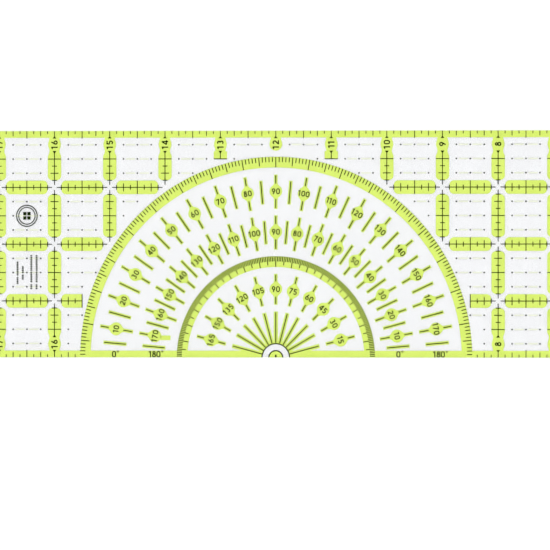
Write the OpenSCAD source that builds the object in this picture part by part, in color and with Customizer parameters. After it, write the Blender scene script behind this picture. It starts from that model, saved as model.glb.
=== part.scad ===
// Clear drafting and quilting rule with a double 180 degree protractor.
// A clear blade carries two layers of ink on its back: line ink against the blade and
// bright highlight ink behind it. A thin clear grip film covers the print.
// The rule lies flat. X runs along it, inch numbers fall towards +X, and Y = -width/2 is the
// long edge that carries the protractor's vertex. Z = 0 is the face that lies on the work.

/* [Blade] */
// Length of the rule in inches, even, so that the protractor sits on an inch line
length_in = 24; // [16:2:36]
// Width of the rule in inches
width_in = 4; // [4:1:6]
// Thickness of the clear blade
blade_t = 3; // [2:0.25:5]
// Radius of the blade's four corners
corner_r = 3; // [1:0.5:6]
// Diameter of the hang hole
hang_d = 6.4; // [4:0.2:9]

/* [Grip film and ink] */
// Thickness of the clear grip film
film_t = 0.15; // [0.1:0.01:0.3]
// Thickness of each ink layer
ink_t = 0.04; // [0.03:0.01:0.06]
// Clear gap left between one layer and the next
layer_gap = 0.01; // [0.005:0.005:0.02]
// How far the print and the film stop inside the blade's outline
print_inset = 0.15; // [0.1:0.05:0.5]

/* [Edge scales] */
// Height of the highlight band along each edge
band_h = 3.2; // [2.6:0.1:3.3]
// Width of an edge tick
tick_w = 0.36; // [0.2:0.02:0.6]
// Length of an eighth-inch tick
tick_eighth = 1.5; // [1:0.1:2]
// Length of a quarter-inch tick
tick_quarter = 2.4; // [2:0.1:3]
// Length of a half-inch and of a whole-inch tick
tick_half = 3.5; // [3:0.1:4.2]
// Distance of an inch number's centre from the edge
number_inset = 6.2; // [6.1:0.1:7]
// Height of the inch numbers
inch_digit_h = 2.95; // [2:0.05:3.5]

/* [Inch grid] */
// Width of the inch lines
grid_w = 0.38; // [0.2:0.02:0.8]
// Width of the highlight bar behind an inch line
bar_w = 6.1; // [5.4:0.1:8]
// Corner radius of a highlight bar
bar_r = 2.1; // [1:0.1:2.6]
// Gap in the lines on each side of a crossing
crossing_gap = 1.15; // [0.5:0.05:2]

/* [Protractor] */
// Outer radius of the outer degree band
outer_r = 89.8; // [88:0.1:92]
// Width of the outer degree band
outer_w = 4.8; // [4:0.1:5.8]
// Outer radius of the inner degree band
inner_r = 45.4; // [44:0.1:48]
// Width of the inner degree band
inner_w = 4.85; // [4:0.1:6]
// Length of a one-degree tick
degree_short = 2.35; // [1.5:0.05:3]
// Length of a five-degree tick
degree_long = 3.95; // [3:0.05:4]
// Width of a degree tick
degree_w = 0.4; // [0.15:0.01:0.5]
// Width of the leaders, five-degree lines and rays
leader_w = 0.46; // [0.3:0.02:0.9]
// Width of the highlight behind leaders and five-degree lines
halo_w = 1.6; // [1:0.1:2.4]
// Diameter of a number pad
pad_d = 5.8; // [5:0.1:6]
// Height of the protractor's numbers
ring_digit_h = 2.6; // [2:0.05:3]

/* [Hidden] */

inch = 25.4;
blade_l = length_in * inch;
blade_w = width_in * inch;
mid_in = length_in / 2;
base_y = -blade_w / 2;
smooth = 64;
smooth_large = 180;
large_r = 20;

// Heights of the layers
mark_z = film_t + layer_gap;
line_z = mark_z + ink_t + layer_gap;
blade_z = line_z + ink_t + layer_gap;

// The hang hole sits in the middle of an end cell of the grid
hang_x = -blade_l / 2 + inch / 2;
hang_y = blade_w / 2 - 1.5 * inch;
film_clearance = 1;

// Grid proportions, along one cell of an inch
bar_start = inch / 8;
neck_w = 4.6;
neck_end = number_inset + pad_d / 2 + 0.2;
shoulder_l = 1.2;
line_start = neck_end + 0.8;
flare_w = 1.75;
tick_flare_l = 0.8;
line_flare_l = 1;
cross_half = bar_w;
cross_quarter = 3.6;
cross_eighth = 2.2;
cross_w = 0.38;

// Radii of the number rings, with the far ends of their leaders, and of the lines between
outer_ring_r = 74.4;
outer_leader = [66.9, 81.45];
outer_line = [69.1, 79];
middle_ring_r = 56.3;
middle_leader = [48.7, 63.25];
middle_line = [51.2, 61.05];
inner_ring_r = 30.7;
inner_leader = [24.1, 37.1];
inner_step = 15;
leader_gap = 3.4;
point_l = 3.9;
ray_line = [6.7, 20.3];
ray_halo_w = 1.9;
halo_margin = 0.4;
clear_r = 6.35;
vertex_r = 3.2;
arc_w = 0.5;
centre_tick_w = 0.7;
centre_tick_h = 1.3;

// Numbers on the base line, [number, x]
base_labels = [[0, -74.2], [180, -55.5], [0, 56.1], [180, 74.7]];
base_digit_h = 0.89 * band_h;
base_spacing = 0.91;
inch_spacing = 1.13;

// Stroke width of the digits, as a share of their height
thin = 0.175;
bold = 0.185;

// The inner leader of this number in the middle ring is only a level bar of highlight
unlined = 170;
unlined_bar = [4.7, 2.1];
unlined_r = 51.4;

// The printed seal: four patches in a double ring, in the middle of a cell
seal_at = [-4.5 * inch, blade_w / 2 - 1.5 * inch];
seal_rings = [[4.72, 0.42], [3.75, 0.38]];
seal_patch = 1.5;
seal_patch_r = 1.35;

// The notice: rows of plain blocks in place of small print. Each word is
// [x, y, number of blocks], with x and y in inches from the vertex to its middle
notice = [
    [-4.67, 1.36, 4], [-4.67, 1.57, 8],
    [-4.575, 1.42, 3], [-4.575, 1.55, 4],
    [-4.42, 1.25, 3], [-4.42, 1.42, 6], [-4.42, 1.67, 9],
    [-4.325, 1.25, 3], [-4.325, 1.42, 6], [-4.325, 1.67, 9]
];
block = [0.8, 0.52];
block_pitch = 0.8;

clear_tint = [0.96, 0.96, 0.98, 0.35];
film_tint = [0.93, 0.94, 0.95, 0.4];
bright_ink = [0.85, 0.95, 0.42];
dark_ink = [0.12, 0.13, 0.09];

function x_at(n) = (mid_in - n) * inch;
function outside_arc(x, y) = norm([x, y - base_y]) > outer_r;
function digits(n) = n < 10 ? [n] : concat(digits(floor(n / 10)), [n % 10]);
function digit_width(d) = d == 1 ? 0.52 : 0.78;
function digits_width(d, count) =
    count == 0 ? 0 : digit_width(d[count - 1]) + digits_width(d, count - 1);
function digit_at(d, i) =
    digits_width(d, i) + digit_width(d[i]) / 2 - digits_width(d, len(d)) / 2;
function tick_length(eighth) =
    eighth % 4 == 0 ? tick_half : eighth % 2 == 0 ? tick_quarter : tick_eighth;
function cross_length(eighth) =
    eighth == 4 ? cross_half : eighth % 2 == 0 ? cross_quarter : cross_eighth;

// ---- Digits, drawn with strokes of one width, centred, with cap height h ----

module stroke(p, q, w) {
    d = q - p;
    translate(p)
        rotate(atan2(d.y, d.x))
            translate([0, -w / 2])
                square([norm(d), w]);
}

// Part of a ring of mean radius r, from angle a to angle b
module arc(centre, r, a, b, w) {
    steps = ceil((b - a) / 60);
    reach = 2 * (r + w);
    translate(centre)
        intersection() {
            ring(r, w);
            polygon(concat([[0, 0]], [
                for (i = [0:steps])
                    reach * [cos(a + (b - a) * i / steps), sin(a + (b - a) * i / steps)]
            ]));
        }
}

module ring(r, w) {
    facets = r > large_r ? smooth_large : smooth;
    difference() {
        circle(r + w / 2, $fn = facets);
        circle(r - w / 2, $fn = facets);
    }
}

module oval(w, h) {
    for (side = [-1, 1])
        translate([0, side * (h - w) / 2])
            circle(w / 2, $fn = smooth);
    square([w, h - w], center = true);
}

module zero(h, w) {
    difference() {
        oval(0.66 * h, h);
        oval(0.66 * h - 2 * w, h - 2 * w);
    }
}

module one(h, w) {
    stem = [-0.06 * h, -0.06 * h + w];
    polygon([
        [stem[0], -0.5 * h], [stem[1], -0.5 * h], [stem[1], 0.5 * h], [stem[0], 0.5 * h],
        [-0.3, 0.38] * h, [-0.3, 0.22] * h, [stem[0], 0.33 * h]
    ]);
}

module two(h, w) {
    arc([0, 0.2] * h, 0.3 * h - w / 2, -42, 165, w);
    stroke([0.21, 0.1] * h, [-0.26, -0.42] * h, w);
    stroke([-0.3 * h, -0.5 * h + w / 2], [0.31 * h, -0.5 * h + w / 2], w);
}

module three(h, w) {
    arc([-0.02, 0.235] * h, 0.265 * h - w / 2, -95, 150, w);
    arc([-0.02, -0.2] * h, 0.3 * h - w / 2, -150, 95, w);
}

module four(h, w) {
    stroke([0.13, -0.5] * h, [0.13, 0.5] * h, w);
    stroke([-0.33, -0.22] * h, [0.33, -0.22] * h, w);
    stroke([0.1, 0.45] * h, [-0.29, -0.2] * h, w);
}

module five(h, w) {
    stroke([-0.24 * h, 0.5 * h - w / 2], [0.27 * h, 0.5 * h - w / 2], w);
    stroke([-0.2, 0.5] * h, [-0.22, 0] * h, w);
    arc([-0.02, -0.18] * h, 0.32 * h - w / 2, -148, 130, w);
}

module six(h, w) {
    translate([0, -0.18] * h)
        ring(0.32 * h - w / 2, w);
    stroke([-0.235, -0.12] * h, [0.09, 0.5] * h, w);
}

module seven(h, w) {
    stroke([-0.3 * h, 0.5 * h - w / 2], [0.3 * h, 0.5 * h - w / 2], w);
    stroke([-0.12, -0.5] * h, [0.22, 0.46] * h, w);
}

module eight(h, w) {
    translate([0, 0.24] * h)
        ring(0.26 * h - w / 2, w);
    translate([0, -0.19] * h)
        ring(0.31 * h - w / 2, w);
}

module digit(d, h, w) {
    if (d == 0) zero(h, w);
    if (d == 1) one(h, w);
    if (d == 2) two(h, w);
    if (d == 3) three(h, w);
    if (d == 4) four(h, w);
    if (d == 5) five(h, w);
    if (d == 6) six(h, w);
    if (d == 7) seven(h, w);
    if (d == 8) eight(h, w);
    if (d == 9) rotate(180) six(h, w);
}

// A number of cap height h and stroke width weight * h, its digits spread apart by spacing
module number(n, h, weight, spacing = 1) {
    d = digits(n);
    for (i = [0:len(d) - 1])
        translate([digit_at(d, i) * spacing * h, 0])
            digit(d[i], h, weight * h);
}

// ---- Places and layers ----

module mark_layer() {
    color(bright_ink)
        translate([0, 0, mark_z])
            linear_extrude(ink_t)
                children();
}

module line_layer() {
    color(dark_ink)
        translate([0, 0, line_z])
            linear_extrude(ink_t)
                children();
}

// The blade's outline, drawn in by the given amount
module outline(inset) {
    l = blade_l - 2 * inset;
    w = blade_w - 2 * inset;
    r = corner_r - inset;
    square([l - 2 * r, w], center = true);
    square([l, w - 2 * r], center = true);
    for (sx = [-1, 1], sy = [-1, 1])
        translate([sx * (l / 2 - r), sy * (w / 2 - r)])
            circle(r, $fn = smooth);
}

// At radius r and angle a of the protractor, turned so that +Y points away from its vertex
module on_ray(a, r = 0) {
    translate([0, base_y])
        rotate(a - 90)
            translate([0, r])
                children();
}

module above_base_band() {
    intersection() {
        children();
        translate([-blade_l / 2, base_y + band_h])
            square([blade_l, blade_w]);
    }
}

// ---- Edge scales: each piece is drawn from the edge inwards, along +Y ----

module edge_tick(eighth) {
    whole = eighth % 8 == 0;
    translate([-tick_w / 2, print_inset])
        square([tick_w, tick_length(eighth) - print_inset - (whole ? tick_flare_l : 0)]);
    if (whole)
        translate([0, tick_half - tick_flare_l])
            flare(tick_w, tick_flare_l);
}

// The serif, of length l, that ends a line of width w next to its number, opening towards +Y
module flare(w, l) {
    polygon([[-w / 2, 0], [w / 2, 0], [flare_w / 2, l], [-flare_w / 2, l]]);
}

module number_pad(joined) {
    translate([0, number_inset])
        circle(pad_d / 2, $fn = smooth);
    translate([-neck_w / 2, band_h])
        square([neck_w, (joined ? neck_end : number_inset) - band_h]);
}

// ---- Inch grid: a cell runs along +Y between two crossings, away from the protractor ----

// [start, touches the base edge, touches the far edge, broken off half way]
function cells_across(x) = [
    for (k = [0:width_in - 1])
        let (low = base_y + k * inch)
            if (outside_arc(x, low + inch / 2))
                [low, k == 0, k == width_in - 1, !outside_arc(x, low)]
];
function cells_along(y) = [
    for (k = [0:mid_in - 1])
        let (near = k * inch)
            if (outside_arc(near + inch / 2, y))
                [near, false, k == mid_in - 1, !outside_arc(near, y)]
];

// From full width at Y = 0 to a rounded end, or to the neck of a number pad
module bar_end(necked) {
    if (necked) {
        polygon([
            [-bar_w / 2, 0], [bar_w / 2, 0],
            [neck_w / 2, shoulder_l], [-neck_w / 2, shoulder_l]
        ]);
    } else {
        translate([-bar_w / 2 + bar_r, 0])
            square([bar_w - 2 * bar_r, bar_r]);
        intersection() {
            for (side = [-1, 1])
                translate([side * (bar_w / 2 - bar_r), 0])
                    circle(bar_r, $fn = smooth);
            translate([-bar_w / 2, 0])
                square([bar_w, bar_r]);
        }
    }
}

module cell_bar(first, last, half) {
    from = half ? inch / 2 : first ? neck_end + shoulder_l : bar_start + bar_r;
    to = inch - (last ? neck_end + shoulder_l : bar_start + bar_r);
    translate([-bar_w / 2, from])
        square([bar_w, to - from]);
    translate([0, to])
        bar_end(last);
    if (!half)
        translate([0, from])
            rotate(180)
                bar_end(first);
}

module cell_line(first, last, half) {
    from = half ? inch / 2 : first ? line_start : crossing_gap;
    to = inch - (last ? line_start : crossing_gap);
    translate([-grid_w / 2, from])
        square([grid_w, to - from]);
    if (half)
        translate([-bar_w / 2, inch / 2 - grid_w / 2])
            square([bar_w, grid_w]);
    if (last)
        translate([0, to])
            flare(grid_w, line_flare_l);
    if (first)
        translate([0, from])
            rotate(180)
                flare(grid_w, line_flare_l);
    for (eighth = [1:7])
        if (eighth * inch / 8 > from && eighth * inch / 8 < to)
            translate([-cross_length(eighth) / 2, eighth * inch / 8 - cross_w / 2])
                square([cross_length(eighth), cross_w]);
}

module grid_across(lines) {
    for (n = [1:length_in - 1])
        for (cell = cells_across(x_at(n)))
            translate([x_at(n), cell[0]])
                if (lines)
                    cell_line(cell[1], cell[2], cell[3]);
                else
                    cell_bar(cell[1], cell[2], cell[3]);
}

module grid_along(lines) {
    for (k = [1:width_in - 1], side = [-1, 1])
        for (cell = cells_along(base_y + k * inch))
            translate([side * cell[0], base_y + k * inch])
                rotate(-90 * side)
                    if (lines)
                        cell_line(cell[1], cell[2], cell[3]);
                    else
                        cell_bar(cell[1], cell[2], cell[3]);
}

// ---- Protractor ----

module degree_band(r, w) {
    above_base_band()
        translate([0, base_y])
            ring(r - w / 2, w);
}

module degree_ticks(r, w) {
    for (a = [1:179])
        let (l = a % 10 == 0 ? w : a % 5 == 0 ? degree_long : degree_short)
            on_ray(a, r - l)
                translate([-degree_w / 2, 0])
                    square([degree_w, l]);
}

// A round pad with a point on its ray on each side, and the highlight behind its two leaders.
// The inner one is left out at the angle skip
module ring_pads(r, leader, step, skip = 0) {
    side = acos(pad_d / 2 / point_l);
    x = pad_d / 2 * sin(side);
    y = pad_d / 2 * cos(side);
    for (a = [step:step:180 - step]) {
        on_ray(a, r) {
            circle(pad_d / 2, $fn = smooth);
            polygon([[0, point_l], [-x, y], [-x, -y], [0, -point_l], [x, -y], [x, y]]);
        }
        from = a == skip ? r : leader[0] - halo_margin;
        on_ray(a, from)
            translate([-halo_w / 2, 0])
                square([halo_w, leader[1] + halo_margin - from]);
    }
}

module ring_leaders(r, leader, step, skip = 0) {
    for (a = [step:step:180 - step]) {
        if (a != skip)
            on_ray(a, leader[0])
                translate([-leader_w / 2, 0])
                    square([leader_w, r - leader_gap - leader[0]]);
        on_ray(a, r + leader_gap)
            translate([-leader_w / 2, 0])
                square([leader_w, leader[1] - r - leader_gap]);
    }
}

// Numbers that rise from left to right when sign is -1, and from right to left when it is 1
module ring_numbers(r, step, sign) {
    for (a = [step:step:180 - step])
        on_ray(a, r)
            number(sign > 0 ? a : 180 - a, ring_digit_h, thin);
}

// Lines half way between the numbers, of width w, longer by margin at each end
module between_lines(line, w, margin) {
    for (a = [5:10:175])
        on_ray(a, line[0] - margin)
            translate([-w / 2, 0])
                square([w, line[1] - line[0] + 2 * margin]);
}

module rays(from, to, w) {
    for (a = [inner_step:inner_step:180 - inner_step])
        on_ray(a, from)
            translate([-w / 2, 0])
                square([w, to - from]);
}

// A number with a degree sign after it
module degree_number(n, h) {
    d = digits(n);
    number(n, h, thin, base_spacing);
    translate([(digit_at(d, len(d) - 1) * base_spacing + 0.63) * h, 0.42 * h])
        ring(0.11 * h, 0.1 * h);
}

// ---- Sub-parts ----

module blade() {
    color(clear_tint)
        translate([0, 0, blade_z])
            difference() {
                linear_extrude(blade_t)
                    outline(0);
                translate([hang_x, hang_y, -1])
                    cylinder(h = blade_t + 2, d = hang_d, $fn = smooth);
            }
}

module grip_film() {
    color(film_tint)
        difference() {
            linear_extrude(film_t)
                outline(print_inset);
            translate([hang_x, hang_y, -1])
                cylinder(h = film_t + 2, d = hang_d + 2 * film_clearance, $fn = smooth);
        }
}

module edge_band() {
    mark_layer()
        difference() {
            outline(print_inset);
            square([blade_l - 2 * band_h, blade_w - 2 * band_h], center = true);
            translate([0, base_y])
                circle(clear_r, $fn = smooth);
        }
}

module inch_number_pads() {
    mark_layer() {
        for (n = [1:length_in - 1]) {
            translate([x_at(n), blade_w / 2])
                rotate(180)
                    number_pad(outside_arc(x_at(n), (blade_w - inch) / 2));
            if (outside_arc(x_at(n), base_y))
                translate([x_at(n), base_y])
                    number_pad(true);
        }
        for (k = [1:width_in - 1], side = [-1, 1])
            translate([side * blade_l / 2, base_y + k * inch])
                rotate(side * 90)
                    number_pad(true);
    }
}

module grid_bars_along() {
    mark_layer()
        grid_along(false);
}

module grid_bars_across() {
    mark_layer()
        grid_across(false);
}

module outer_degree_band() {
    mark_layer()
        degree_band(outer_r, outer_w);
}

module inner_degree_band() {
    mark_layer()
        degree_band(inner_r, inner_w);
}

module outer_number_pads() {
    mark_layer()
        ring_pads(outer_ring_r, outer_leader, 10);
}

module middle_number_pads() {
    mark_layer() {
        ring_pads(middle_ring_r, middle_leader, 10, unlined);
        on_ray(unlined, unlined_r)
            rotate(90 - unlined)
                square(unlined_bar, center = true);
    }
}

module inner_number_pads() {
    mark_layer()
        ring_pads(inner_ring_r, inner_leader, inner_step);
}

module outer_line_halos() {
    mark_layer()
        between_lines(outer_line, halo_w, halo_margin);
}

module middle_line_halos() {
    mark_layer()
        between_lines(middle_line, halo_w, halo_margin);
}

module ray_halos() {
    mark_layer()
        above_base_band()
            difference() {
                rays(0, ray_line[1] + halo_margin, ray_halo_w);
                translate([0, base_y])
                    circle(clear_r, $fn = smooth);
            }
}

module vertex_pad() {
    mark_layer()
        intersection() {
            translate([0, base_y])
                circle(vertex_r, $fn = smooth);
            outline(print_inset);
        }
}

module edge_ticks() {
    line_layer() {
        for (eighth = [1:8 * length_in - 1]) {
            translate([x_at(eighth / 8), blade_w / 2])
                rotate(180)
                    edge_tick(eighth);
            if (outside_arc(x_at(eighth / 8), base_y))
                translate([x_at(eighth / 8), base_y])
                    edge_tick(eighth);
        }
        for (eighth = [1:8 * width_in - 1], side = [-1, 1])
            translate([side * blade_l / 2, base_y + eighth * inch / 8])
                rotate(side * 90)
                    edge_tick(eighth);
    }
}

module inch_numbers() {
    line_layer() {
        for (n = [1:length_in - 1]) {
            translate([x_at(n), blade_w / 2 - number_inset])
                rotate(90)
                    number(n, inch_digit_h, bold, inch_spacing);
            if (outside_arc(x_at(n), base_y))
                translate([x_at(n), base_y + number_inset])
                    rotate(90)
                        number(n, inch_digit_h, bold, inch_spacing);
        }
        for (k = [1:width_in - 1], side = [-1, 1])
            translate([side * (blade_l / 2 - number_inset), base_y + k * inch])
                number(k, inch_digit_h, bold, inch_spacing);
    }
}

module grid_lines_along() {
    line_layer()
        grid_along(true);
}

module grid_lines_across() {
    line_layer()
        grid_across(true);
}

module outer_degree_ticks() {
    line_layer()
        degree_ticks(outer_r, outer_w);
}

module inner_degree_ticks() {
    line_layer()
        degree_ticks(inner_r, inner_w);
}

module outer_leaders() {
    line_layer() {
        ring_leaders(outer_ring_r, outer_leader, 10);
        between_lines(outer_line, leader_w, 0);
    }
}

module middle_leaders() {
    line_layer() {
        ring_leaders(middle_ring_r, middle_leader, 10, unlined);
        between_lines(middle_line, leader_w, 0);
    }
}

module inner_leaders() {
    line_layer()
        ring_leaders(inner_ring_r, inner_leader, inner_step);
}

module outer_numbers() {
    line_layer()
        ring_numbers(outer_ring_r, 10, -1);
}

module middle_numbers() {
    line_layer()
        ring_numbers(middle_ring_r, 10, 1);
}

module inner_numbers() {
    line_layer()
        ring_numbers(inner_ring_r, inner_step, 1);
}

module base_numbers() {
    line_layer()
        for (label = base_labels)
            translate([label[1], base_y + band_h / 2])
                degree_number(label[0], base_digit_h);
}

module centre_rays() {
    line_layer()
        rays(ray_line[0], ray_line[1], leader_w);
}

module vertex_arcs() {
    line_layer() {
        intersection() {
            for (r = [clear_r, vertex_r])
                translate([0, base_y])
                    ring(r, arc_w);
            outline(print_inset);
        }
        translate([-centre_tick_w / 2, base_y + print_inset])
            square([centre_tick_w, centre_tick_h]);
    }
}

module seal() {
    line_layer()
        translate(seal_at) {
            for (r = seal_rings)
                ring(r[0], r[1]);
            for (turn = [45:90:315])
                rotate(turn)
                    translate([seal_patch_r, 0])
                        rotate(45)
                            square(seal_patch, center = true);
        }
}

module notice_blocks() {
    line_layer()
        for (word = notice, i = [0:word[2] - 1])
            translate([word[0] * inch, base_y + word[1] * inch])
                translate([0, (i - (word[2] - 1) / 2) * block_pitch])
                    square(block, center = true);
}

blade();
grip_film();
edge_band();
inch_number_pads();
grid_bars_along();
grid_bars_across();
outer_degree_band();
inner_degree_band();
outer_number_pads();
middle_number_pads();
inner_number_pads();
outer_line_halos();
middle_line_halos();
ray_halos();
vertex_pad();
edge_ticks();
inch_numbers();
grid_lines_along();
grid_lines_across();
outer_degree_ticks();
inner_degree_ticks();
outer_leaders();
middle_leaders();
inner_leaders();
outer_numbers();
middle_numbers();
inner_numbers();
base_numbers();
centre_rays();
vertex_arcs();
seal();
notice_blocks();
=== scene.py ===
import math

import bpy
import numpy as np
from mathutils import Matrix, Vector
from mathutils.geometry import tessellate_polygon


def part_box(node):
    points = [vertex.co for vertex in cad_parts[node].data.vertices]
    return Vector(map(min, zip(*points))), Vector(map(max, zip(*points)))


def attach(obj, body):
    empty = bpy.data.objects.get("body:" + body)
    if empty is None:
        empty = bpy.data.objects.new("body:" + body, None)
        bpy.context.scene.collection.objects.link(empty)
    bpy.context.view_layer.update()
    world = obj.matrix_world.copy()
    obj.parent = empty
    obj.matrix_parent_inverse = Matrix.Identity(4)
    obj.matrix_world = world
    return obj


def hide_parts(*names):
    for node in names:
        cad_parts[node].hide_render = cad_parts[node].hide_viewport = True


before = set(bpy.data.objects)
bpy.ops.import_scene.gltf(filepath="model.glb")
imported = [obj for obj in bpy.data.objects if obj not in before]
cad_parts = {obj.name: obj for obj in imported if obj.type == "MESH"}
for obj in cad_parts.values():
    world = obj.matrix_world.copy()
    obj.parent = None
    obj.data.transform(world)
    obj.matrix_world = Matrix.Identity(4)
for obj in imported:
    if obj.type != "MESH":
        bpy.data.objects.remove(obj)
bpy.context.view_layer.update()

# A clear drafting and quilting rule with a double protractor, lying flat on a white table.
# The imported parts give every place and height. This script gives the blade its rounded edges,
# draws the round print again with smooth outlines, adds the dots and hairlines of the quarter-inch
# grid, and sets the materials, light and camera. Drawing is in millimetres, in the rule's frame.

MM = 0.001
INCH = 25.4


def box_mm(node):
    return [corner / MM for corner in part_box(node)]


# ---- Sizes from the frame ----

BLADE_LO, BLADE_HI = box_mm("blade")
LENGTH = BLADE_HI.x - BLADE_LO.x
WIDTH = BLADE_HI.y - BLADE_LO.y
BASE_Y = BLADE_LO.y
FILM_LO, FILM_HI = box_mm("grip_film")
MARK_Z = [corner.z for corner in box_mm("edge_band")]
LINE_Z = [corner.z for corner in box_mm("edge_ticks")]
PRINT_INSET = FILM_LO.x - BLADE_LO.x
INCHES_LONG = round(LENGTH / INCH)
INCHES_WIDE = round(WIDTH / INCH)

# ---- The print's own sizes ----

CORNER_R = 3
HANG_HOLE = (BLADE_LO.x + INCH / 2, BLADE_HI.y - 1.5 * INCH)
HANG_R = 3.2
FILM_CLEARANCE = 1
EDGE_ROUND = 0.2
FILM_ROUND = 0.03
ROUND_STEPS = 4

BAND_H = 3.2
NUMBER_INSET = 6.2
PAD_R = 2.9
NECK_W = 4.6
NECK_END = 9.3
BAR_W = 6.1
BAR_R = 2.1
BAR_START = INCH / 8
HALO_W = 1.6
HALO_MARGIN = 0.4

OUTER_BAND = (89.8, 4.8)
INNER_BAND = (45.4, 4.85)
OUTER_RING = (74.4, 66.9, 81.45, 10)
MIDDLE_RING = (56.3, 48.7, 63.25, 10)
INNER_RING = (30.7, 24.1, 37.1, 15)
UNLINED = 170
UNLINED_BAR = (51.4, 4.7, 2.1)
CLEAR_R = 6.35

INCH_DIGIT_H = 2.95
INCH_SPACING = 1.13
RING_DIGIT_H = 2.6
BASE_DIGIT_H = 2.85
BASE_SPACING = 0.91
THIN, BOLD = 0.175, 0.185
BASE_LABELS = [(0, -74.2), (180, -55.5), (0, 56.1), (180, 74.7)]

# How far the ink fills the corners where a pad meets its neck, and where it meets its line's halo
NECK_FLOW = 0.8
PAD_FLOW = 1.1
SHOULDER = 0.5

DOT_R = 0.36
DOT_CLEAR_R = 90.55
SEAL_AT = (-4.5 * INCH, BLADE_HI.y - 1.5 * INCH)
HAIRLINE = (4.2, 0.6)
# How far dots, and the middles of hairlines, keep away from the hang hole's edge and the seal's centre
DOT_TO_HOLE = 2
HAIRLINE_TO_HOLE = 4
DOT_TO_SEAL = 3

# Grid steps of the outlines: of print in millimetres, and of digits as a share of their height
PRINT_STEP = 0.05
GLYPH_STEP = 0.0125

# ---- Flat shapes, as functions of x and y that are negative inside ----


def disc(x0, y0, r):
    return lambda x, y: np.hypot(x - x0, y - y0) - r


def ring(x0, y0, r, w):
    return lambda x, y: np.abs(np.hypot(x - x0, y - y0) - r) - w / 2


def block(x0, y0, w, h, r=0.0, turn=0.0):
    """A rectangle w by h about (x0, y0), with corner radius r, turned by an angle in radians."""
    c, s = math.cos(turn), math.sin(turn)

    def shape(x, y):
        u = np.abs((x - x0) * c + (y - y0) * s) - w / 2 + r
        v = np.abs((y - y0) * c - (x - x0) * s) - h / 2 + r
        return np.hypot(np.maximum(u, 0), np.maximum(v, 0)) + np.minimum(np.maximum(u, v), 0) - r

    return shape


def stroke(p, q, w, r=0.0):
    length = math.dist(p, q)
    turn = math.atan2(q[1] - p[1], q[0] - p[0])
    return block((p[0] + q[0]) / 2, (p[1] + q[1]) / 2, length, w, r, turn)


def arc(x0, y0, r, start, end, w):
    """Part of a ring of mean radius r, between two angles in degrees."""
    middle, half = math.radians(start + end) / 2, math.radians(end - start) / 2
    whole = ring(x0, y0, r, w)

    def shape(x, y):
        off = np.arctan2(y - y0, x - x0) - middle
        off = np.abs((off + math.pi) % (2 * math.pi) - math.pi) - half
        side = np.hypot(x - x0, y - y0) * np.sin(np.clip(off, -math.pi / 2, math.pi / 2))
        return np.maximum(whole(x, y), side)

    return shape


def union(*shapes):
    return lambda x, y: np.minimum.reduce([s(x, y) for s in shapes])


def flowed(k, first, *others):
    """A union whose inner corners are filled, as ink fills them, over about k."""

    def shape(x, y):
        d = first(x, y)
        for other in others:
            e = other(x, y)
            h = np.clip(0.5 + 0.5 * (e - d) / k, 0, 1)
            d = e * (1 - h) + d * h - k * h * (1 - h)
        return d

    return shape


def clipped(shape, limit):
    return lambda x, y: np.maximum(shape(x, y), limit(x, y))


# ---- Outlines: closed loops of points, outer ones counter-clockwise and holes clockwise ----

# For each set of a cell's corners that lie inside: the sides by which the outline enters and leaves
CROSSINGS = {
    1: [(0, 3)], 2: [(1, 0)], 3: [(1, 3)], 4: [(2, 1)], 5: [(0, 3), (2, 1)],
    6: [(2, 0)], 7: [(2, 3)], 8: [(3, 2)], 9: [(0, 2)], 10: [(1, 0), (3, 2)],
    11: [(1, 2)], 12: [(3, 1)], 13: [(0, 1)], 14: [(3, 0)],
}


def outline(shape, lo, hi, step):
    """The loops of a shape's edge, found on a grid of that step between two corners."""
    xs = np.arange(lo[0], hi[0] + step, step)
    ys = np.arange(lo[1], hi[1] + step, step)
    f = shape(*np.meshgrid(xs, ys))
    f[f == 0] = 1e-9
    inside = f < 0
    code = inside[:-1, :-1] + 2 * inside[:-1, 1:] + 4 * inside[1:, 1:] + 8 * inside[1:, :-1]
    follows = {}
    for j, i in zip(*np.nonzero((code > 0) & (code < 15))):
        sides = [(j, i, 0), (j, i + 1, 1), (j + 1, i, 0), (j, i, 1)]
        for a, b in CROSSINGS[int(code[j, i])]:
            follows[sides[a]] = sides[b]

    def point(side):
        j, i, upright = side
        a, b = f[j, i], f[j + upright, i + 1 - upright]
        t = a / (a - b)
        return xs[i] + step * t * (1 - upright), ys[j] + step * t * upright

    loops = []
    while follows:
        start = side = next(iter(follows))
        loop = []
        while side in follows:
            loop.append(point(side))
            side = follows.pop(side)
        assert side == start
        loops.append(thinned(np.array(loop), step / 12))
    return loops


def thinned(loop, tolerance):
    """The loop without the points that lie within tolerance of the line past them."""
    far = int(np.argmax(np.hypot(*(loop - loop[0]).T)))

    def halve(a, b):
        p, q = loop[a], loop[b % len(loop)]
        run = q - p
        between = loop[a + 1:b] - p
        if len(between) == 0:
            return []
        off = np.abs(between[:, 0] * run[1] - between[:, 1] * run[0]) / max(np.hypot(*run), 1e-9)
        worst = int(np.argmax(off))
        if off[worst] < tolerance:
            return []
        middle = a + 1 + worst
        return halve(a, middle) + [middle] + halve(middle, b)

    keep = [0] + halve(0, far) + [far] + halve(far, len(loop))
    return loop[keep]


def arc_points(x0, y0, r, start, end, step=2.0):
    """Points along an arc between two angles in degrees, either way round."""
    count = max(2, math.ceil(abs(end - start) / step) + 1)
    a = np.radians(np.linspace(start, end, count))
    return np.column_stack([x0 + r * np.cos(a), y0 + r * np.sin(a)])


def plate_loop(inset, step=3.0):
    """The blade's outline, drawn in by inset."""
    x, y, r = LENGTH / 2 - CORNER_R, WIDTH / 2 - CORNER_R, CORNER_R - inset
    corners = [(x, -y, -90), (x, y, 0), (-x, y, 90), (-x, -y, 180)]
    return np.vstack([arc_points(cx, cy, r, a, a + 90, step) for cx, cy, a in corners])


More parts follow.
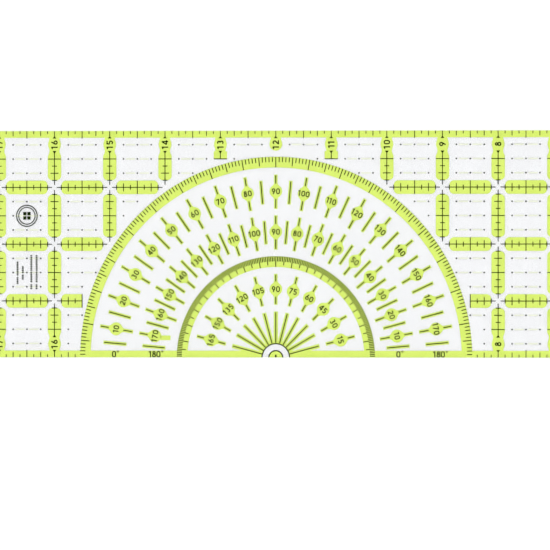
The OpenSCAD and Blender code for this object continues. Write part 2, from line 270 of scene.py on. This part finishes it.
def hole_loop(r, step=4.0):
    return arc_points(*HANG_HOLE, r, 360, 0, step)[:-1]


# ---- Meshes ----


def make_piece(name, verts, faces, material, stands_for=()):
    mesh = bpy.data.meshes.new(name)
    mesh.from_pydata((np.asarray(verts) * MM).tolist(), [], faces)
    mesh.materials.append(material)
    mesh.update()
    piece = bpy.data.objects.new(name, mesh)
    bpy.context.collection.objects.link(piece)
    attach(piece, "root")
    if stands_for:
        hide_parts(*stands_for)
    return piece


def filled(loops):
    """Triangles that fill the loops, facing up, over the loops' points in order."""
    points = np.vstack(loops)
    triangles = np.array(tessellate_polygon([[Vector((x, y, 0)) for x, y in p] for p in loops]))
    a, b, c = points[triangles].transpose(1, 0, 2)
    area = (b - a)[:, 0] * (c - a)[:, 1] - (b - a)[:, 1] * (c - a)[:, 0]
    triangles[area < 0] = triangles[area < 0][:, ::-1]
    return points, triangles[np.abs(area) > 1e-9]


def steps_round(loops):
    """Each point's number with the next one's, around every loop."""
    pairs, first = [], 0
    for loop in loops:
        i = np.arange(len(loop))
        pairs.append(np.column_stack([first + i, first + (i + 1) % len(loop)]))
        first += len(loop)
    return np.vstack(pairs)


def printed(name, parts, z, material, stands_for=()):
    """One layer of print.

    Each part is (loops, places), and a place is (x, y, turn in degrees, scale).
    """
    verts, faces = [], []
    count = 0
    for loops, places in parts:
        points, top = filled(loops)
        n = len(points)
        round_ = steps_round(loops)
        walls = np.column_stack([round_, round_[:, ::-1] + n])
        for x, y, turn, scale in places:
            c, s = math.cos(math.radians(turn)) * scale, math.sin(math.radians(turn)) * scale
            flat = points @ np.array([[c, s], [-s, c]]) + (x, y)
            for height in z:
                verts.append(np.column_stack([flat, np.full(n, height)]))
            faces += (top + n + count).tolist()
            faces += (top[:, ::-1] + count).tolist()
            faces += (walls + count).tolist()
            count += 2 * n
    return make_piece(name, np.vstack(verts), faces, material, stands_for)


def plate(name, z, inset, hole_r, rounding, materials, stands_for):
    """A clear plate with rounded edges. If there are two materials, the second covers its sides."""
    z0, z1 = z
    levels = []
    for k in range(ROUND_STEPS + 1):
        a = math.pi / 2 * k / ROUND_STEPS
        levels.append((rounding * (1 - math.sin(a)), z0 + rounding * (1 - math.cos(a))))
    levels += [(d, z0 + z1 - height) for d, height in reversed(levels)]
    rings = [[plate_loop(inset + d), hole_loop(hole_r + d)] for d, _ in levels]
    n = sum(len(loop) for loop in rings[0])
    verts = np.vstack([
        np.column_stack([np.vstack(loops), np.full(n, height)])
        for loops, (_, height) in zip(rings, levels)
    ])
    _, cap = filled(rings[0])
    round_ = steps_round(rings[0])
    faces = cap[:, ::-1].tolist() + (cap + (len(levels) - 1) * n).tolist()
    for k in range(len(levels) - 1):
        faces += (np.column_stack([round_, round_[:, ::-1] + n]) + k * n).tolist()
    mesh = make_piece(name, verts, faces, materials[0], stands_for).data
    if len(materials) > 1:
        mesh.materials.append(materials[1])
        sides = np.arange(len(faces)) >= 2 * len(cap)
        mesh.polygons.foreach_set("material_index", sides.astype(np.int32))


# ---- Materials ----


def new_material(name):
    material = bpy.data.materials.new(name)
    material.use_nodes = True
    nodes = material.node_tree.nodes
    nodes.clear()
    output = nodes.new("ShaderNodeOutputMaterial")
    shader = nodes.new("ShaderNodeBsdfPrincipled")
    material.node_tree.links.new(shader.outputs[0], output.inputs["Surface"])
    return material, shader


def add_node(material, kind, inputs=None, **settings):
    node = material.node_tree.nodes.new(kind)
    for key, value in settings.items():
        setattr(node, key, value)
    for key, value in (inputs or {}).items():
        if isinstance(value, bpy.types.NodeSocket):
            material.node_tree.links.new(value, node.inputs[key])
        else:
            node.inputs[key].default_value = value
    return node


def noise(material, scale, detail=2.0, stretch=None):
    """Noise in the rule's own frame, whose scale is in features per metre."""
    where = add_node(material, "ShaderNodeTexCoord").outputs["Object"]
    if stretch:
        mapping = add_node(material, "ShaderNodeMapping", {"Vector": where, "Scale": stretch})
        where = mapping.outputs[0]
    node = add_node(material, "ShaderNodeTexNoise", {
        "Vector": where, "Scale": scale, "Detail": detail,
    })
    return node.outputs["Fac"]


def toned(name, low, high, scale, roughness, stretch=None):
    """A surface whose tone and gloss vary a little over it."""
    material, shader = new_material(name)
    links = material.node_tree.links
    tone = add_node(material, "ShaderNodeMapRange", {
        "Value": noise(material, scale, 3, stretch), "From Min": 0.35, "From Max": 0.65,
    })
    colour = add_node(material, "ShaderNodeMix", {"Factor": tone.outputs[0]}, data_type="RGBA")
    colour.inputs[6].default_value = (*low, 1)
    colour.inputs[7].default_value = (*high, 1)
    links.new(colour.outputs[2], shader.inputs["Base Color"])
    gloss = add_node(material, "ShaderNodeMapRange", {
        "Value": noise(material, 900), "To Min": roughness - 0.06, "To Max": roughness + 0.06,
    })
    links.new(gloss.outputs[0], shader.inputs["Roughness"])
    return material, shader


def lets_lamps_through(material, shader, tint):
    """Plastic that shades nothing: light rays from lamps and sky pass straight through it."""
    links = material.node_tree.links
    through = add_node(material, "ShaderNodeBsdfTransparent", {"Color": (*tint, 1)})
    is_shadow = add_node(material, "ShaderNodeLightPath").outputs["Is Shadow Ray"]
    mix = add_node(material, "ShaderNodeMixShader", {
        0: is_shadow, 1: shader.outputs[0], 2: through.outputs[0],
    })
    output = next(n for n in material.node_tree.nodes if n.type == "OUTPUT_MATERIAL")
    links.new(mix.outputs[0], output.inputs["Surface"])


def bumped(material, shader, scale, strength, height, stretch=None):
    bump = add_node(material, "ShaderNodeBump", {
        "Height": noise(material, scale, 2, stretch), "Strength": strength, "Distance": height,
    })
    material.node_tree.links.new(bump.outputs[0], shader.inputs["Normal"])


def ink(name, low, high, roughness):
    """Screen ink, seen through the plastic that it is printed on, so without a shine of its own."""
    material, shader = toned(name, low, high, 140, roughness)
    shader.inputs["Specular IOR Level"].default_value = 0
    bumped(material, shader, 4000, 0.15, 0.00002)
    return material


def sawn_edge(name, low, high):
    """The blade's cut sides: a satin surface with fine upright saw marks. Its pale green tone is
    painted glow, standing for light from the print carried out through the plastic.
    """
    upright = (1, 1, 0.04)
    material, shader = toned(name, low, high, 1500, 0.4, upright)
    bumped(material, shader, 3500, 0.4, 0.00003, upright)
    lets_lamps_through(material, shader, (0.98, 0.985, 0.975))
    return material


def clear(name, tint, roughness, ior, bump_scale, bump_height):
    """Clear plastic that bends light."""
    material, shader = new_material(name)
    links = material.node_tree.links
    shader.inputs["Base Color"].default_value = (*tint, 1)
    shader.inputs["Transmission Weight"].default_value = 1
    shader.inputs["IOR"].default_value = ior
    gloss = add_node(material, "ShaderNodeMapRange", {
        "Value": noise(material, 60), "To Min": roughness * 0.8, "To Max": roughness * 1.2,
    })
    links.new(gloss.outputs[0], shader.inputs["Roughness"])
    bumped(material, shader, bump_scale, 0.5, bump_height)
    lets_lamps_through(material, shader, tint)
    return material


acrylic = clear("clear_acrylic", (0.985, 0.986, 0.99), 0.01, 1.49, 30, 0.00001)
# The cut sides' pale green tone is painted glow: light from the print carried out through the acrylic.
# The saw marks are the edges' own.
sawn_painted_glow = sawn_edge("sawn_edge", (0.76, 0.81, 0.67), (0.86, 0.9, 0.77))
frosted = clear("grip_film_matte", (0.955, 0.957, 0.96), 0.12, 1.45, 5000, 0.000004)
highlight = ink("highlight_ink", (0.574, 0.706, 0.136), (0.602, 0.732, 0.152), 0.5)
black = ink("line_ink", (0.008, 0.018, 0.002), (0.013, 0.026, 0.004), 0.45)
hairline_ink = ink("hairline_ink", (0.74, 0.77, 0.61), (0.765, 0.79, 0.64), 0.5)

# ---- Blade and film ----

plate("clear_blade", (BLADE_LO.z, BLADE_HI.z), 0, HANG_R, EDGE_ROUND, [acrylic, sawn_painted_glow],
      ["blade"])
plate("frosted_film", (FILM_LO.z, FILM_HI.z), PRINT_INSET, HANG_R + FILM_CLEARANCE, FILM_ROUND,
      [frosted], ["grip_film"])

# ---- Places ----


def on_ray(angle, r=0.0):
    """A place at radius r on the protractor's ray at that angle, turned away from the vertex."""
    a = math.radians(angle)
    return r * math.cos(a), BASE_Y + r * math.sin(a), angle - 90, 1


def outside_arc(x, y):
    return math.hypot(x, y - BASE_Y) > OUTER_BAND[0]


def inch_x(n):
    return (INCHES_LONG / 2 - n) * INCH


# ---- Numbers ----

SOFT = 0.02


def digit_shapes(w):
    """The digits 0 to 8 with strokes of width w, at a height of 1."""

    def pen(*points):
        return [stroke(p, q, w, SOFT) for p, q in zip(points, points[1:])]

    def bend(x, y, r, start=0, end=360):
        if end - start == 360:
            return ring(x, y, r - w / 2, w)
        return arc(x, y, r - w / 2, start, end, w)

    high, low = 0.5 - w / 2, w / 2 - 0.5
    inner = block(0, 0, 0.66 - 2 * w, 1 - 2 * w, 0.33 - w)
    return [
        clipped(block(0, 0, 0.66, 1, 0.33), lambda x, y: -inner(x, y)),
        clipped(flowed(0.05, *pen((0.02, -0.5), (0.02, 0.5)), *pen((-0.27, 0.31), (0.06, 0.43))),
                block(0, 0, 1, 1)),
        flowed(0.04, bend(0, 0.2, 0.3, -42, 165), *pen((0.21, 0.1), (-0.26, low)),
               *pen((-0.3, low), (0.31, low))),
        flowed(0.04, bend(-0.02, 0.235, 0.265, -95, 150), bend(-0.02, -0.2, 0.3, -150, 95)),
        flowed(0.04, *pen((0.13, -0.5), (0.13, 0.5)), *pen((-0.33, -0.22), (0.33, -0.22)),
               *pen((0.1, 0.45), (-0.29, -0.2))),
        flowed(0.04, *pen((-0.24, high), (0.27, high)), *pen((-0.2, 0.5), (-0.22, 0)),
               bend(-0.02, -0.18, 0.32, -148, 130)),
        flowed(0.04, bend(0, -0.18, 0.32), *pen((-0.235, -0.12), (0.09, 0.5))),
        flowed(0.04, *pen((-0.3, high), (0.3, high)), *pen((-0.12, -0.5), (0.22, 0.46))),
        flowed(0.04, bend(0, 0.24, 0.26), bend(0, -0.19, 0.31)),
    ]


def digit_loops(w):
    loops = [outline(shape, (-0.6, -0.6), (0.6, 0.6), GLYPH_STEP) for shape in digit_shapes(w)]
    return loops + [[-loop for loop in loops[6]]]


glyphs = {w: digit_loops(w) for w in (THIN, BOLD)}
degree_sign = outline(ring(0, 0, 0.11, 0.1), (-0.3, -0.3), (0.3, 0.3), GLYPH_STEP)


def digit_width(digit):
    return 0.52 if digit == 1 else 0.78


def digit_places(n, h, place, spacing=1.0):
    """(digit, place) for each digit of n, centred on place."""
    digits = [int(d) for d in str(n)]
    x, y, turn, _ = place
    a = math.radians(turn)
    at = -sum(digit_width(d) for d in digits) / 2
    for d in digits:
        along = (at + digit_width(d) / 2) * spacing * h
        yield d, (x + along * math.cos(a), y + along * math.sin(a), turn, h)
        at += digit_width(d)


def numbers(name, labels, h, weight, spacing=1.0, extra=()):
    """Prints each (n, place) of labels, in place of the CAD node of that name."""
    places = [[] for _ in range(10)]
    for n, place in labels:
        for d, where in digit_places(n, h, place, spacing):
            places[d].append(where)
    parts = [(glyphs[weight][d], places[d]) for d in range(10) if places[d]] + list(extra)
    printed(name + "_print", parts, LINE_Z, black, [name])


def inch_labels():
    for n in range(1, INCHES_LONG):
        yield n, (inch_x(n), BLADE_HI.y - NUMBER_INSET, 90, 1)
        if outside_arc(inch_x(n), BASE_Y):
            yield n, (inch_x(n), BASE_Y + NUMBER_INSET, 90, 1)
    for k in range(1, INCHES_WIDE):
        for side in (-1, 1):
            yield k, (side * (LENGTH / 2 - NUMBER_INSET), BASE_Y + k * INCH, 0, 1)


def ring_labels(ring_sizes, falling):
    r, _, _, step = ring_sizes
    for angle in range(step, 180, step):
        yield (180 - angle if falling else angle), on_ray(angle, r)


def base_labels():
    for n, x in BASE_LABELS:
        yield n, (x, BASE_Y + BAND_H / 2, 0, 1)


def degree_signs():
    for n, place in base_labels():
        *_, (_, (last_x, y, _, _)) = digit_places(n, BASE_DIGIT_H, place, BASE_SPACING)
        yield last_x + 0.63 * BASE_DIGIT_H, y + 0.42 * BASE_DIGIT_H, 0, BASE_DIGIT_H


numbers("inch_numbers", inch_labels(), INCH_DIGIT_H, BOLD, INCH_SPACING)
numbers("outer_numbers", ring_labels(OUTER_RING, True), RING_DIGIT_H, THIN)
numbers("middle_numbers", ring_labels(MIDDLE_RING, False), RING_DIGIT_H, THIN)
numbers("inner_numbers", ring_labels(INNER_RING, False), RING_DIGIT_H, THIN)
numbers("base_numbers", base_labels(), BASE_DIGIT_H, THIN, BASE_SPACING,
        [(degree_sign, list(degree_signs()))])

# ---- Highlight behind the numbers and lines ----


def highlighted(name, parts):
    printed(name + "_print", parts, MARK_Z, highlight, [name])


def number_pad(joined):
    """An inch number's pad and neck, from the edge band at y = BAND_H inwards."""
    end = NECK_END if joined else NUMBER_INSET
    neck = block(0, (BAND_H + end) / 2, NECK_W, end - BAND_H)
    pad = flowed(NECK_FLOW, disc(0, NUMBER_INSET, PAD_R), neck)
    if joined:
        pad = clipped(pad, block(0, BAND_H + (end - BAND_H) / 2, 20, end - BAND_H))
    else:
        pad = clipped(pad, block(0, BAND_H + 10, 20, 20))
    return outline(pad, (-4, BAND_H - 0.5), (4, 10), PRINT_STEP)


def number_pads():
    top_joined, top_alone, low = [], [], []
    for n in range(1, INCHES_LONG):
        group = top_joined if outside_arc(inch_x(n), BLADE_HI.y - INCH / 2) else top_alone
        group.append((inch_x(n), BLADE_HI.y, 180, 1))
        if outside_arc(inch_x(n), BASE_Y):
            low.append((inch_x(n), BASE_Y, 0, 1))
    ends = [(side * LENGTH / 2, BASE_Y + k * INCH, side * 90, 1)
            for k in range(1, INCHES_WIDE) for side in (-1, 1)]
    return [(number_pad(True), top_joined + low + ends), (number_pad(False), top_alone)]


def bar_loops(first, last, half):
    """The bar behind one cell of a grid line, which runs along +Y between two crossings."""
    low = INCH / 2 if half else NECK_END + SHOULDER if first else BAR_START
    high = INCH - (NECK_END + SHOULDER if last else BAR_START)
    body = block(0, (low + high) / 2, BAR_W, high - low, BAR_R)
    if half:
        body = union(body, block(0, low + BAR_R, BAR_W, 2 * BAR_R))
    necks = []
    if first:
        necks.append(block(0, NECK_END + 2, NECK_W, 4))
    if last:
        necks.append(block(0, INCH - NECK_END - 2, NECK_W, 4))
    shape = flowed(NECK_FLOW, body, *necks) if necks else body
    limit_low = NECK_END if first else low
    limit_high = INCH - NECK_END if last else high
    limit = block(0, (limit_low + limit_high) / 2, 20, limit_high - limit_low)
    return outline(clipped(shape, limit), (-4, 0), (4, INCH), PRINT_STEP)


def cells_across(x):
    """Each cell's start, with whether it touches the base edge, touches the far edge, or is half."""
    for k in range(INCHES_WIDE):
        low = BASE_Y + k * INCH
        if outside_arc(x, low + INCH / 2):
            yield low, (k == 0, k == INCHES_WIDE - 1, not outside_arc(x, low))


def cells_along(y):
    for k in range(INCHES_LONG // 2):
        near = k * INCH
        if outside_arc(near + INCH / 2, y):
            yield near, (False, k == INCHES_LONG // 2 - 1, not outside_arc(near, y))


def bars(cells):
    """Groups the cells that have the same shape of bar."""
    kinds = {}
    for kind, place in cells:
        kinds.setdefault(kind, []).append(place)
    return [(bar_loops(*kind), places) for kind, places in kinds.items()]


def bars_across():
    for n in range(1, INCHES_LONG):
        for low, kind in cells_across(inch_x(n)):
            yield kind, (inch_x(n), low, 0, 1)


def bars_along():
    for k in range(1, INCHES_WIDE):
        y = BASE_Y + k * INCH
        for side in (-1, 1):
            for near, kind in cells_along(y):
                yield kind, (side * near, y, -90 * side, 1)


def ring_pads(ring_sizes, skip=0):
    """Round pads that flow into the highlight behind their leaders. skip has no inner leader."""
    r, leader_start, leader_end, step = ring_sizes
    low, high = leader_start - HALO_MARGIN - r, leader_end + HALO_MARGIN - r
    disc_ = disc(0, 0, PAD_R)

    def loops(bottom):
        halo = block(0, (bottom + high) / 2, HALO_W, high - bottom)
        return outline(flowed(PAD_FLOW, disc_, halo), (-4, -9), (4, 9), PRINT_STEP)

    whole = [on_ray(a, r) for a in range(step, 180, step) if a != skip]
    parts = [(loops(low), whole)]
    if skip:
        parts.append((loops(0), [on_ray(skip, r)]))
        at, w, h = UNLINED_BAR
        x, y, _, _ = on_ray(skip, at)
        bar = outline(block(0, 0, w, h, 0.15), (-4, -2), (4, 2), PRINT_STEP)
        parts.append((bar, [(x, y, 0, 1)]))
    return parts


def degree_band(sizes):
    outer, width = sizes
    inner = outer - width
    a, b = (math.degrees(math.asin(BAND_H / r)) for r in (outer, inner))
    return np.vstack([
        arc_points(0, BASE_Y, outer, a, 180 - a, 0.5),
        arc_points(0, BASE_Y, inner, 180 - b, b, 0.5),
    ])


def edge_band():
    """The band round the whole edge, cut through by the clear ring at the vertex."""
    low = math.degrees(math.asin(PRINT_INSET / CLEAR_R))
    high = math.degrees(math.asin(BAND_H / CLEAR_R))
    x, y = LENGTH / 2 - BAND_H, WIDTH / 2 - BAND_H
    return np.vstack([
        plate_loop(PRINT_INSET),
        arc_points(0, BASE_Y, CLEAR_R, 180 - low, 180 - high),
        [(-x, -y), (-x, y), (x, y), (x, -y)],
        arc_points(0, BASE_Y, CLEAR_R, high, low),
    ])


at_origin = [(0, 0, 0, 1)]
highlighted("inch_number_pads", number_pads())
highlighted("grid_bars_across", bars(bars_across()))
highlighted("grid_bars_along", bars(bars_along()))
highlighted("outer_number_pads", ring_pads(OUTER_RING))
highlighted("middle_number_pads", ring_pads(MIDDLE_RING, UNLINED))
highlighted("inner_number_pads", ring_pads(INNER_RING))
highlighted("outer_degree_band", [([degree_band(OUTER_BAND)], at_origin)])
highlighted("inner_degree_band", [([degree_band(INNER_BAND)], at_origin)])
highlighted("edge_band", [([edge_band()], at_origin)])

# ---- Dots at the quarter inches, and the hairlines between them ----


def quarter_points():
    """Each dot's count of quarters along and up, with its place: nine in every cell of the grid."""
    for i in range(-2 * INCHES_LONG, 2 * INCHES_LONG):
        for j in range(4 * INCHES_WIDE):
            if i % 4 and j % 4:
                x, y = i * INCH / 4, BASE_Y + j * INCH / 4
                if math.hypot(x, y - BASE_Y) > DOT_CLEAR_R:
                    yield i, j, x, y


def clear_of(x, y, centre, r):
    return math.dist((x, y), centre) > r


dots, hairlines = [], []
printed_points = {(i, j) for i, j, _, _ in quarter_points()}
for i, j, x, y in quarter_points():
    if clear_of(x, y, HANG_HOLE, HANG_R + DOT_TO_HOLE) and clear_of(x, y, SEAL_AT, DOT_TO_SEAL):
        dots.append((x, y, 0, 1))
    middle = x + INCH / 8
    joined = (i + 1, j) in printed_points
    if joined and clear_of(middle, y, HANG_HOLE, HANG_R + HAIRLINE_TO_HOLE):
        hairlines.append((middle, y, 0, 1))
dot_loop = arc_points(0, 0, DOT_R, 0, 360, 18)[:-1]
hairline_loop = np.array([(-1, -1), (1, -1), (1, 1), (-1, 1)]) * HAIRLINE / 2
printed("quarter_dots", [([dot_loop], dots)], LINE_Z, black)
printed("quarter_hairlines", [([hairline_loop], hairlines)], MARK_Z, hairline_ink)

# ---- Materials of the nodes that are shown as packed ----

HIGHLIGHT_NODES = {"outer_line_halos", "middle_line_halos", "ray_halos", "vertex_pad"}
for name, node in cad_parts.items():
    if not node.hide_render:
        node.data.materials.clear()
        node.data.materials.append(highlight if name in HIGHLIGHT_NODES else black)

# ---- Table, light and camera ----

FLOOR_SIZE = 8.0
FLOOR_GAP = 0.00003

floor_mesh = bpy.data.meshes.new("table_top")
half = FLOOR_SIZE / 2
floor_mesh.from_pydata([(-half, -half, -FLOOR_GAP), (half, -half, -FLOOR_GAP),
                        (half, half, -FLOOR_GAP), (-half, half, -FLOOR_GAP)], [], [(0, 1, 2, 3)])
floor_material, floor_shader = new_material("white_table")
floor_shader.inputs["Base Color"].default_value = (0.9, 0.9, 0.9, 1)
floor_shader.inputs["Roughness"].default_value = 0.9
floor_shader.inputs["Specular IOR Level"].default_value = 0.1
floor_mesh.materials.append(floor_material)
floor = bpy.data.objects.new("table_top", floor_mesh)
bpy.context.collection.objects.link(floor)

# A light tent: dim walls, a bright ring above them, and a dark opening overhead for the camera
world = bpy.data.worlds.new("light_tent")
world.use_nodes = True
bpy.context.scene.world = world
tree = world.node_tree
background = tree.nodes["Background"]
background.inputs["Color"].default_value = (1, 1, 1, 1)
direction = tree.nodes.new("ShaderNodeTexCoord").outputs["Generated"]
split = tree.nodes.new("ShaderNodeSeparateXYZ")
tree.links.new(direction, split.inputs[0])


def fading(low, high, at_low, at_high):
    """A brightness that passes from one value to another as directions rise between two heights."""
    node = tree.nodes.new("ShaderNodeMapRange")
    node.interpolation_type = "SMOOTHSTEP"
    tree.links.new(split.outputs["Z"], node.inputs["Value"])
    settings = {"From Min": low, "From Max": high, "To Min": at_low, "To Max": at_high}
    for key, value in settings.items():
        node.inputs[key].default_value = value
    return node.outputs[0]


tent = tree.nodes.new("ShaderNodeMath")
tent.operation = "MULTIPLY"
tree.links.new(fading(0.5, 0.72, 0.55, 2.3), tent.inputs[0])
tree.links.new(fading(0.86, 0.93, 1, 0.01), tent.inputs[1])
tree.links.new(tent.outputs[0], background.inputs["Strength"])

# The camera leans along the rule, so that an inch along it looks shorter than an inch across it
LENS = 1400.0
SENSOR = 36.0
VIEW_SIDE = 0.245645
FORESHORTENED = 0.975
TILT = math.acos(FORESHORTENED)
TARGET = Vector((-0.00058, -0.0138, 0.00025))

camera_data = bpy.data.cameras.new("camera")
camera_data.lens = LENS
camera_data.sensor_width = SENSOR
camera = bpy.data.objects.new("camera", camera_data)
bpy.context.collection.objects.link(camera)
bpy.context.scene.camera = camera
distance = LENS / SENSOR * VIEW_SIDE
back = Vector((math.sin(TILT), 0, math.cos(TILT)))
up = Vector((0, 1, 0))
right = up.cross(back)
turn = Matrix((right, up, back)).transposed().to_4x4()
camera.matrix_world = Matrix.Translation(TARGET + distance * back) @ turn
camera_data.clip_start = 0.1
camera_data.clip_end = 100

bpy.context.scene.view_settings.view_transform = "Standard"
